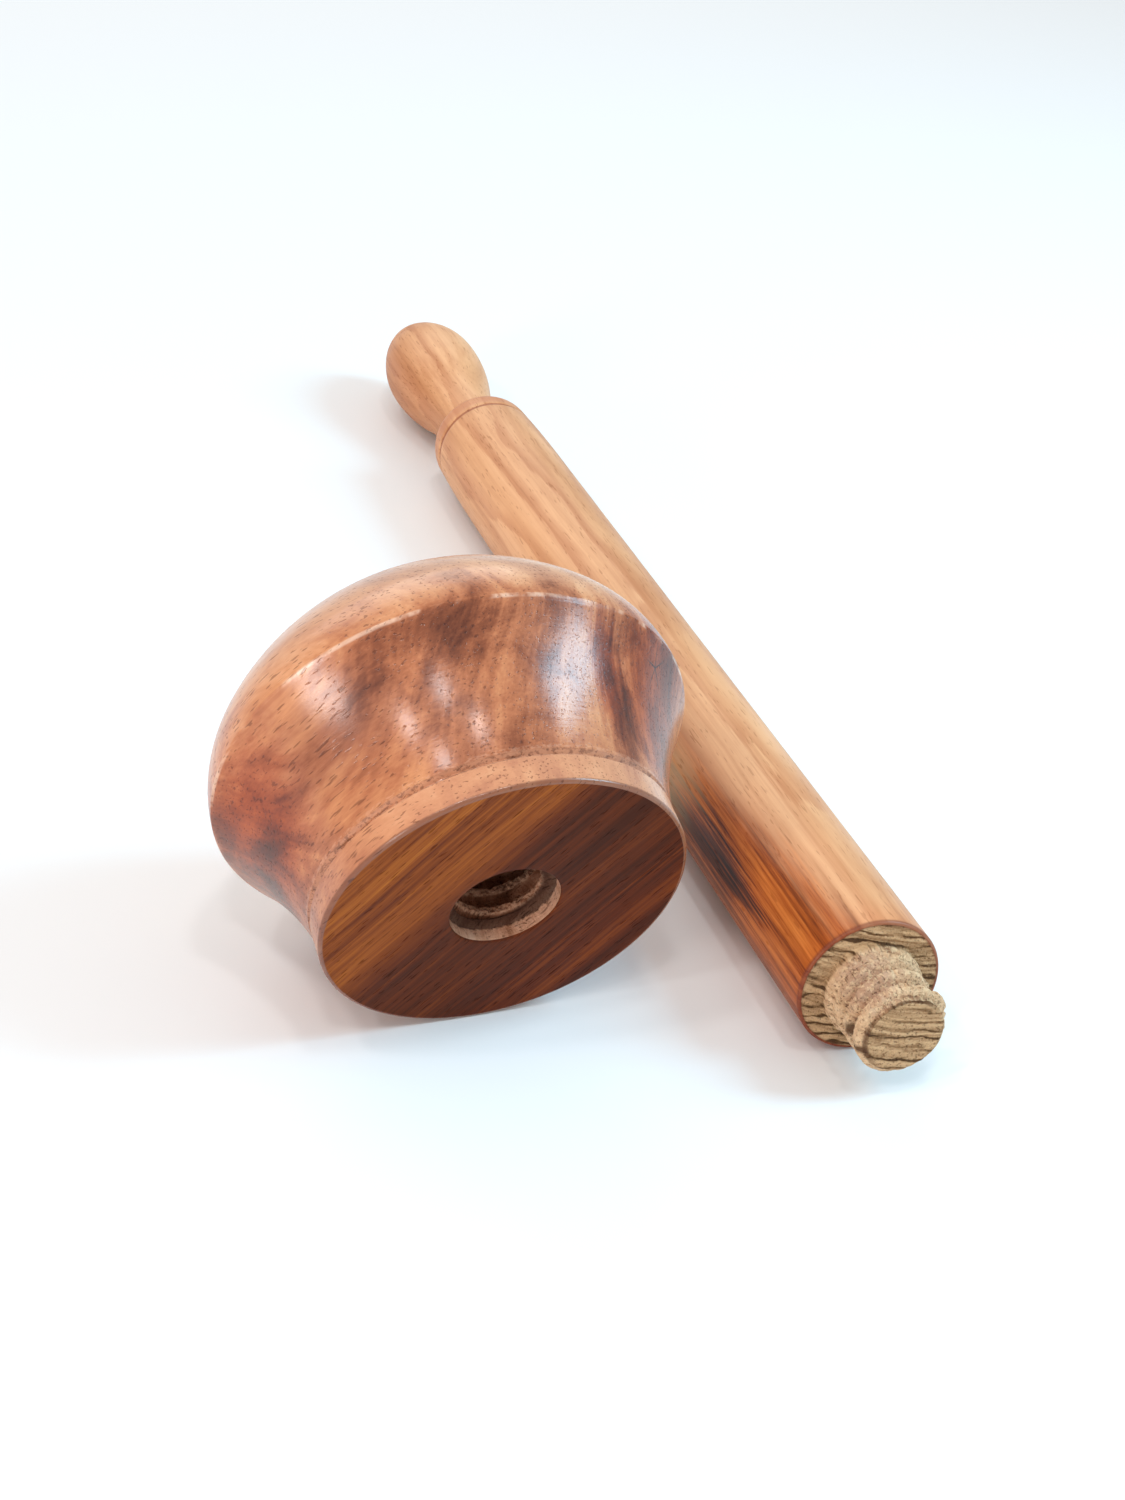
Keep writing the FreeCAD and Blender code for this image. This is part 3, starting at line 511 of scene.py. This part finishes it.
def paint_end(g, k):
    mm = k["mm"]
    x, y, z = g.xyz(mm)
    # late-wood lines across the shoulder and the tenon's end
    wob = g.noise(g.comb(g.math("MULTIPLY", k["fz"], 0.10), g.math("MULTIPLY", k["fy"], 0.22), g.math("MULTIPLY", z, 0.05)), 1.0, 4.0, 0.55)
    f = g.math("ADD", g.math("MULTIPLY", k["fy"], 0.46), g.math("MULTIPLY", wob, 2.3))
    s = g.math("ABSOLUTE", g.math("SUBTRACT", g.math("FRACT", f), 0.5))
    late = g.math("MULTIPLY", g.range(s, 0.26, 0.03), g.range(k["blotch"], 0.34, 0.56))
    v = g.math("SUBTRACT", g.math("ADD", k["v"], 0.07), g.math("MULTIPLY", late, g.range(z, -1.0, -6.0, 0.36, 0.26)))
    ten = g.range(z, -0.4, -1.6)
    endf = g.range(z, -TEN_L + 1.0, -TEN_L + 0.3)
    rr = g.math("SQRT", g.math("ADD", g.math("MULTIPLY", x, x), g.math("MULTIPLY", y, y)))
    wall = g.math("SUBTRACT", ten, endf)
    v = g.math("ADD", v, g.math("MULTIPLY", wall, 0.24))
    # painted shade in the thread roots
    v = g.math("SUBTRACT", v, g.math("MULTIPLY", g.math("MULTIPLY", wall, g.range(rr, 8.7, 7.7)), 0.26))
    col = g.ramp(v, k["stops"])
    col = g.mix(g.math("MULTIPLY", wall, 0.25), col, srgb(214, 164, 134))
    # violet-brown stain and pale crumbled fibres on the tenon's upper left
    stain = spot(g, mm, (-5.0, -8.0, -8.0), (6.0, 5.0, 7.0), 0.5, k["blotch"], 1.6)
    col = g.mix(g.math("MULTIPLY", g.math("MULTIPLY", stain, wall), 0.45), col, srgb(160, 118, 104))
    crumb = g.noise(g.vec("MULTIPLY", mm, (0.9, 0.9, 0.7)), 1.0, 5.0, 0.8)
    col = g.mix(g.math("MULTIPLY", g.math("MULTIPLY", g.range(crumb, 0.50, 0.56), wall), 0.6), col, srgb(236, 202, 160))
    # knot and split on the tenon, shaded step beside its end
    knot = spot(g, mm, (-9.0, 1.0, -11.1), (1.5, 1.5, 1.3), 0.5, k["fibre"], 1.0)
    split = spot(g, mm, (-8.4, 2.6, -15.2), (1.2, 0.8, 2.6), 0.5, k["fibre"], 0.8)
    col = g.mix(g.math("MULTIPLY", g.math("MAXIMUM", knot, split), 0.88), col, srgb(74, 40, 20))
    step = g.math("MULTIPLY", g.range(rr, 7.3, 7.8), g.math("MULTIPLY", g.range(rr, 8.7, 8.2), g.range(z, -TEN_L + 1.2, -TEN_L + 0.7)))
    upper = g.range(g.math("ADD", g.math("MULTIPLY", x, 0.7), g.math("MULTIPLY", y, 0.7)), 2.0, -3.0)
    col = g.mix(g.math("MULTIPLY", g.math("MULTIPLY", step, upper), 0.75), col, srgb(80, 50, 34))
    rough = g.noise(g.vec("MULTIPLY", mm, (1.4, 1.4, 0.8)), 1.0, 4.0, 0.75)
    col = g.mix(g.math("MULTIPLY", g.range(rough, 0.54, 0.66), g.math("MULTIPLY", ten, 0.75)), col, srgb(120, 82, 54))
    edge = g.range(rr, 13.7, 14.6)
    # painted shade in the corner where the collar meets the shoulder
    root = g.math("MULTIPLY", g.range(rr, 10.4, 9.3), g.range(z, -1.4, -0.2))
    col = g.mix(g.math("MULTIPLY", root, 0.6), col, srgb(84, 56, 36))
    return g.mix(g.math("MULTIPLY", edge, 0.6), col, srgb(110, 66, 46))


def rough_relief(g, h, k):
    n = g.noise(g.vec("MULTIPLY", k["mm"], (1.6, 1.6, 1.0)), 1.0, 4.0, 0.7)
    return g.math("ADD", h, g.math("MULTIPLY", n, 3.0))


TEN_L = 16.4
m_head = wood("lacquered_head_wood", M_HEAD, HG, HN, HEAD_STOPS, pith=(-10.0, 150.0), band=0.11, fine=0.6, warp=4.0, pore=0.55, coat=0.72,
              coat_rough=0.20, rough=(0.36, 0.5), specular=0.10, relief=lathe_marks, mottle=0.62, contrast=1.05, paint=paint_head,
              weights=(0.55, 0.34, 0.20), bump=0.3)
m_face = wood("striking_face_wood", M_HEAD, HG, HN, FACE_STOPS, pith=(0.0, 900.0), band=0.15, fine=0.85, warp=1.2, pore=0.8, rough=(0.5, 0.66),
              specular=0.12, mottle=0.12, contrast=1.3, relief=lathe_marks, paint=paint_face, weights=(0.50, 0.44, 0.20))
m_sock = wood("raw_socket_wood", M_HEAD, HG, HN, RAW_STOPS, pith=(0.0, 900.0), band=0.3, fine=1.4, warp=2.0, pore=0.8, rough=(0.7, 0.9),
              specular=0.15, mottle=0.5, bump=1.0, contrast=1.2, paint=paint_socket, relief=rough_relief)
m_grip = wood("polished_handle_wood", M_HANDLE, (0, 0, 1), GN, HANDLE_STOPS, pith=(6.0, 26.0), band=0.22, fine=1.1, warp=2.4, pore=0.3,
              pore_dark=0.55, coat=0.20, coat_rough=0.28, rough=(0.42, 0.56), specular=0.12, mottle=0.15, paint=paint_handle, bump=0.15)
m_end = wood("raw_tenon_wood", M_HANDLE, (0, 0, 1), GN, END_STOPS, pith=(4.0, 60.0), band=0.5, fine=2.0, warp=1.5, pore=0.6,
             rough=(0.75, 0.95), specular=0.12, mottle=0.4, bump=1.0, contrast=1.3, paint=paint_end, relief=rough_relief)


# --------------------------------------------------------------------- head
SIDE, FACE_T, SOCK = 0, 1, 2
BAND_L, BAND_R, GD, GW = 7.2, 35.95, 1.0, 1.7
FMS, FMR, HH, DS = 17.9, 38.8, 70.9, 22.7
drc, dcy, dang = oval(RIM_R, HH - RIM_S, DS)
fc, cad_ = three_points((BAND_R, BAND_L + GW / 2), (FMR, FMS), (RIM_R, RIM_S))
prof = [(0.0, HH)]
prof += arc((0, RIM_S + dcy), drc, math.pi / 2 - 0.004, dang, 46)
prof += arc((RIM_R - DS, RIM_S), DS, dang, 0.02, 22)
prof += [(RIM_R - 0.02, RIM_S + 0.12), (RIM_R - 0.13, RIM_S - 0.02)]
t1 = math.atan2(RIM_S - fc[1], RIM_R - fc[0]) % (2 * math.pi)
t2 = math.atan2(BAND_L + GW / 2 - fc[1], BAND_R - fc[0]) % (2 * math.pi)
prof += arc(fc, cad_, t1 + (t2 - t1) * 0.012, t2, 60)
n_side = len(prof)
prof += seg((BAND_R, BAND_L + GW / 2), (BAND_R - GD, BAND_L + 0.1), 7)
prof += seg((BAND_R - GD, BAND_L + 0.1), (BAND_R - GD, BAND_L - 0.1), 3)
prof += seg((BAND_R - GD, BAND_L - 0.1), (BAND_R, BAND_L - GW / 2), 7)
prof += seg((BAND_R, BAND_L - GW / 2), (FACE_R, FACE_E), 14)
prof += arc((FACE_R - FACE_E, FACE_E), FACE_E, 0, -math.pi / 2, 8)
n_face = len(prof)
prof += seg((FACE_R - FACE_E, 0), (11.3, 0), 26)
prof += arc((11.3, 0.4), 0.4, -math.pi / 2, -math.pi, 4)
n_sock = len(prof)
MD, SM, SJ, SD = 4.0, 8.4, 9.7, 24.0
prof += seg((10.9, 0.4), (10.9, MD - 0.8), 9)
prof += seg((10.9, MD - 0.8), (9.2, MD), 8)
prof += seg((9.2, MD), (9.2, SD), 92)
prof += seg((9.2, SD), (0.4, SD + 2.4), 16)
prof += [(0.0, SD + 2.6)]
tags = [SIDE] * (n_face - 1) + [FACE_T] * (n_sock - n_face) + [SOCK] * (len(prof) - n_sock)
while len(tags) < len(prof):
    tags.append(SOCK)


def head_shape(R, Z, T):
    x, y = R * np.cos(T), R * np.sin(T)
    R, Z = R.copy(), Z.copy()
    # torn walls of the incised groove
    g = np.exp(-((Z - BAND_L) / 0.75) ** 2) * (R > 30)
    R += g * (0.14 + 0.15 * fbm(x * 0.45, y * 0.45, Z * 1.3, 3) + 0.05 * noise3(x * 2.1, y * 2.1, Z * 3, 5))
    Z += g * 0.22 * fbm(x * 0.35, y * 0.35, Z, 8)
    # socket thread: crest radius SM, root radius SJ, crumbled crests
    inside = (R < 9.3) & (Z > MD - 0.01) & (Z < SD + 0.01) & (R > 9.0)
    ph = (Z - 2.35) / 4.5 - T / (2 * math.pi)
    ph = ph - np.floor(ph + 0.5)                     # 0 in the middle of the cut
    w = np.abs(ph) * 4.5
    lift = smooth(0.85, 1.75, w)                     # 0 root, 1 crest
    r = SJ - (SJ - SM) * lift
    torn = fbm(x * 0.55, y * 0.55, Z * 0.9, 11)
    bits = noise3(x * 1.9, y * 1.9, Z * 2.3, 12)
    r = r + lift * (0.42 * np.maximum(torn, -0.2) + 0.25 * bits) + 0.14 * bits
    r = np.clip(r, SM - 0.1, SJ + 0.35)
    ends = smooth(MD, MD + 0.5, Z) * (1 - smooth(SD - 1.0, SD, Z))
    r = 9.2 * (1 - ends) + r * ends
    R = np.where(inside, r, R)
    # ragged step under the mouth
    step = (R < 10.95) & (Z > 2.6) & (Z <= MD + 0.01) & (R > 9.1)
    R = np.where(step, R + 0.3 * torn * smooth(2.6, 3.4, Z), R)
    # the hand-turned surfaces are never quite round
    body = (R > 12)
    R = np.where(body, R * (1 + 0.0012 * np.sin(2 * T + 0.7) * smooth(0, 3, Z)), R)
    return R, Z


head = revolve("mallet_head", prof, tags, 420, head_shape, M_HEAD, [m_head, m_face, m_sock])

# ------------------------------------------------------------------- handle
GRIP, END = 0, 1
TL, TJ, TM, TC = 16.4, 9.35, 8.05, 1.6
CR, CL, CS = 10.3, 2.6, 0.9
GS, GT, GTR, GE, GER = 238.0, 268.6, 14.4, 274.0, 11.2
LS, LD = 264.0, 0.57
WR, WS, KR, KS, TIP, KD, KH = 8.4, 276.0, 14.0, 322.5, 350.8, 44.0, 108.0


def arc_from(p, direction, q):
    ddx, ddy = direction
    nx, ny = -ddy, ddx
    vx, vy = q[0] - p[0], q[1] - p[1]
    t = (vx * vx + vy * vy) / (2 * (vx * nx + vy * ny))
    return (p[0] + t * nx, p[1] + t * ny), abs(t)


hp = [(0.0, -TL)]
hp += seg((0.35, -TL), (TJ - TC, -TL), 12)
hp += seg((TJ - TC, -TL), (TJ - 0.6, -TL + TC), 7)
hp += seg((TJ - 0.6, -TL + TC), (TJ - 0.6, -CL - CS - 0.2), 92)
hp += seg((TJ - 0.6, -CL - CS - 0.2), (CR, -CL), 8)
hp += seg((CR, -CL), (CR, -0.2), 14)
hp += [(CR + 0.1, 0.0)]
hp += seg((CR + 0.1, 0), (GRIP_R - 0.7, 0), 16)
n_end = len(hp)
hp += arc((GRIP_R - 0.7, 0.7), 0.7, -math.pi / 2, 0, 7)
hp += seg((GRIP_R, 0.7), (GRIP_R, GS), 150)
c2, r2 = arc_from((GRIP_R, GS), (0, 1), (GTR, GT))
e2 = math.atan2(GT - c2[1], GTR - c2[0])
hp += arc(c2, r2, 0, e2, 44)
c3, r3 = arc_from((GTR, GT), (-math.sin(e2), math.cos(e2)), (GER, GE))
hp += arc(c3, r3, e2, math.atan2(GE - c3[1], GER - c3[0]), 14)
hp += seg((GER, GE), (WR, WS), 6)
kx, ky = KR - WR, KS - WS
kf = (kx * kx + ky * ky) / (2 * kx) - KH
bend = math.asin(ky / (KH + kf))
hp += arc((WR + KH, WS), KH, math.pi, math.pi - bend, 22)
hp += arc((KR - kf, KS), kf, -bend, 0, 22)
krc, kcy, kang = oval(KR, TIP - KS, KD)
hp += arc((KR - KD, KS), KD, 0, kang, 48)
hp += arc((0, KS + kcy), krc, kang, math.pi / 2 - 0.03, 18)
hp += [(0.0, TIP)]
htags = [END] * (n_end - 1) + [GRIP] * (len(hp) - n_end + 1)


def handle_shape(R, Z, T):
    x, y = R * np.cos(T), R * np.sin(T)
    R, Z = R.copy(), Z.copy()
    R0 = R.copy()
    # tenon thread, right hand, cut to the same pitch and phase as the solid
    on = (Z < -CL - CS - 0.15) & (Z > -TL - 0.01) & (R > TJ - TC - 0.05)
    ph = (Z + TL + 2.25) / 4.5 - T / (2 * math.pi)
    ph = ph - np.floor(ph + 0.5)
    w = np.abs(ph) * 4.5
    lift = smooth(0.45, 1.55, w)
    torn = fbm(x * 0.5, y * 0.5, Z * 0.35, 21)
    bits = noise3(x * 1.7, y * 1.7, Z * 0.8, 22)
    fibres = noise3(x * 3.1, y * 3.1, Z * 0.5, 24)
    root = TM - 0.45 + 0.25 * torn
    r = root + (TJ + 0.1 - root) * lift * (1 - 0.30 * np.maximum(-torn, 0) * 2)
    bulge = np.exp(-((Z + TL - 3.6) / 2.0) ** 2) * np.exp(-((((T - math.radians(-18) + math.pi) % (2 * math.pi)) - math.pi) / 0.42) ** 2)
    r = r + 0.95 * bulge
    r = r + 0.14 * bits + 0.09 * fibres
    plain = smooth(-CL - CS - 1.4, -CL - CS - 0.3, Z)
    r = r * (1 - plain) + (TJ - 0.1 + 0.12 * bits) * plain
    cap = TJ - TC + (Z + TL) / TC * (TC + 0.05)
    r = np.minimum(r, np.where(Z < -TL + TC, cap + 0.15 * bits, 99))
    R = np.where(on, np.minimum(r, TJ + 0.12 + 1.0 * bulge), R)
    # crumbled collar, torn deeper on the left
    collar = (Z < -0.1) & (Z > -CL - 0.6) & (R0 > TJ - 0.3) & (R0 < CR + 0.02)
    left = np.exp(-((np.abs(T - math.radians(185)) / 0.8) ** 2))
    R = np.where(collar, R - 0.30 * (0.5 + 0.5 * bits) - 0.5 * left * np.maximum(torn, 0) - 0.12 * (1 + fibres), R)
    # rough end grain, with a split at the lower left
    flat = (Z < -TL + 0.01) & (R0 < TJ - TC + 0.01)
    Z = np.where(flat, Z + 0.18 * (1 + fbm(x * 1.2, y * 1.2, 0.0, 25)) * smooth(0.2, 1.5, R0), Z)
    sh = (Z > -0.01) & (Z < 0.01) & (R0 > TJ) & (R0 < GRIP_R - 0.6)
    Z = np.where(sh, Z + 0.10 * (1 + noise3(x * 0.5, y * 2.5, 0.0, 26)), Z)
    # incised line at the soft end, two faint lines on the knob
    R -= LD * np.exp(-((Z - LS) / 0.55) ** 2) * (Z > 200)
    R -= 0.16 * np.exp(-((Z - 334.5) / 0.45) ** 2) + 0.14 * np.exp(-((Z - 338.6) / 0.45) ** 2)
    return R, Z


handle = revolve("mallet_handle", hp, htags, 300, handle_shape, M_HANDLE, [m_grip, m_end])

head.data.set_sharp_from_angle(angle=math.radians(32))
handle.data.set_sharp_from_angle(angle=math.radians(40))

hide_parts("head")
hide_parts("handle")
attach(head, "head")
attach(handle, "handle")

# -------------------------------------------------------------------- stage
floor_me = bpy.data.meshes.new("floor")
floor_me.from_pydata([(-3, -3, 0), (3, -3, 0), (3, 3, 0), (-3, 3, 0)], [], [(0, 1, 2, 3)])
floor = bpy.data.objects.new("floor", floor_me)
bpy.context.scene.collection.objects.link(floor)
floor.location.z = -0.0002
fm = bpy.data.materials.new("pale_floor")
fm.use_nodes = True
fb = fm.node_tree.nodes["Principled BSDF"]
fb.inputs["Base Color"].default_value = (0.82, 0.82, 0.82, 1)
fb.inputs["Roughness"].default_value = 0.9
fb.inputs["Specular IOR Level"].default_value = 0.1
floor_me.materials.append(fm)

world = bpy.data.worlds.new("studio")
bpy.context.scene.world = world
world.use_nodes = True
world.node_tree.nodes["Background"].inputs[0].default_value = (1.0, 1.0, 1.0, 1)
world.node_tree.nodes["Background"].inputs[1].default_value = 0.60


# ------------------------------------------------------------------- camera
PITCH, ROLL, CAM_H, FOCAL = 0.5208819941867426, -0.09420214640112191, 18.821562404988825, 2394.0
HX, HY, HEAD_TH = 4.263014638018176, 25.66977169366157, 1.930045593774739
psi = math.pi / 2 - HEAD_TH
rot = Matrix.Rotation(psi, 4, "Z")
cam_at = SHOULDER + rot @ (Vector((-HX, -HY, CAM_H - 1)) * 0.015)
F = Vector((0, math.cos(PITCH), -math.sin(PITCH)))
Rr = Vector((1, 0, 0))
Dn = F.cross(Rr)
c, s = math.cos(ROLL), math.sin(ROLL)
right = rot @ (c * Rr + s * Dn)
down = rot @ (-s * Rr + c * Dn)
fwd = rot @ F
cam_data = bpy.data.cameras.new("camera")
cam = bpy.data.objects.new("camera", cam_data)
bpy.context.scene.collection.objects.link(cam)
m = Matrix((right, -down, -fwd)).transposed().to_4x4()
cam.matrix_world = Matrix.Translation(cam_at) @ m
cam_data.sensor_width = 36
cam_data.lens = FOCAL * 36 / 1500
cam_data.clip_start = 0.01
bpy.context.scene.camera = cam


def area(name, at, look, size, power, color=(1, 1, 1), size_y=None):
    d = bpy.data.lights.new(name, "AREA")
    d.energy = power
    d.color = color
    d.shape = "RECTANGLE" if size_y else "SQUARE"
    d.size = size
    if size_y:
        d.size_y = size_y
    o = bpy.data.objects.new(name, d)
    bpy.context.scene.collection.objects.link(o)
    o.location = at
    o.rotation_euler = (Vector(look) - Vector(at)).to_track_quat("-Z", "Y").to_euler()
    return o


def lamp_towards(name, start, direction, distance, size, power, color=(1, 1, 1), size_y=None):
    """Area light seen in a glossy surface at 'start' (mm) along 'direction'."""
    p = Vector(start) / 1000
    return area(name, p + Vector(direction).normalized() * distance, p, size, power, color, size_y)


lamp_towards("window", (-7, -144, 78), (0.787, -0.212, 0.579), 0.95, 0.32, 8.4, (0.42, 0.78, 1.0), 0.44)
lamp_towards("left_fill", (-51, -137, 74), (-0.816, -0.53, 0.232), 0.95, 0.22, 3.2, (1.0, 0.97, 0.95), 0.26)
lamp_towards("back", (0, -100, 60), (-0.05, 0.82, 0.54), 1.7, 1.7, 7.5, (1.0, 0.99, 0.97), 0.8)
for n, dirn in enumerate(((-0.563, -0.377, 0.735), (-0.211, -0.504, 0.838), (-0.423, -0.162, 0.892), (-0.017, -0.282, 0.959))):
    lamp_towards("spark_%d" % n, (-30, -150, 72), dirn, 1.3, 0.10, 1.8)
bpy.context.scene.view_settings.view_transform = "Standard"
